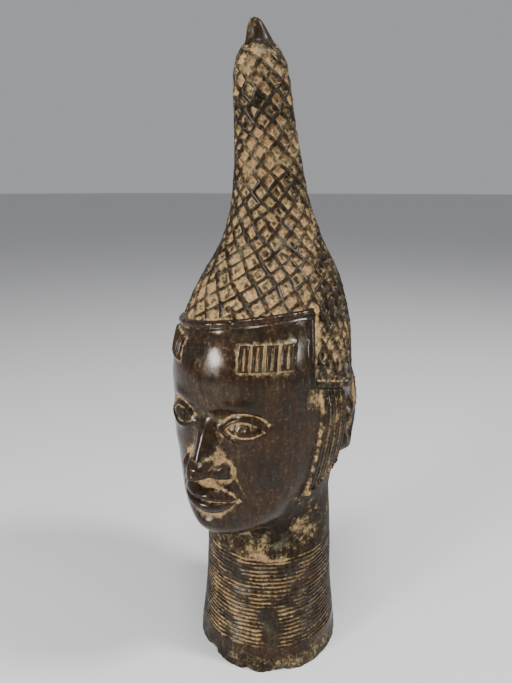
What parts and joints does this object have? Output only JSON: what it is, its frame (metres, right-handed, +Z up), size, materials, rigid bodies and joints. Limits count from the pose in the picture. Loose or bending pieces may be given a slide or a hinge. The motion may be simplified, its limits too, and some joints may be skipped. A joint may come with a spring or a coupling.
{
  "type": "cast bronze head",
  "caption": "Hollow cast head with a calm face, a tall pointed netted cap, bead strands at the ears and a ringed collar; it stands on its open neck.",
  "frame": {"origin": "on the floor plane, under the middle of the bounding box", "axes": "+Z up towards the cap's tip, the face looks along -Y, the head's left ear is towards +X"},
  "size_m": [0.1518, 0.1888, 0.52],
  "materials": {
    "bronze": "cast, polished dark brown on what stands out, ochre patina in the recesses"
  },
  "bodies": {
    "root": {"bronze_head": "bronze"}
  },
  "joints": []
}
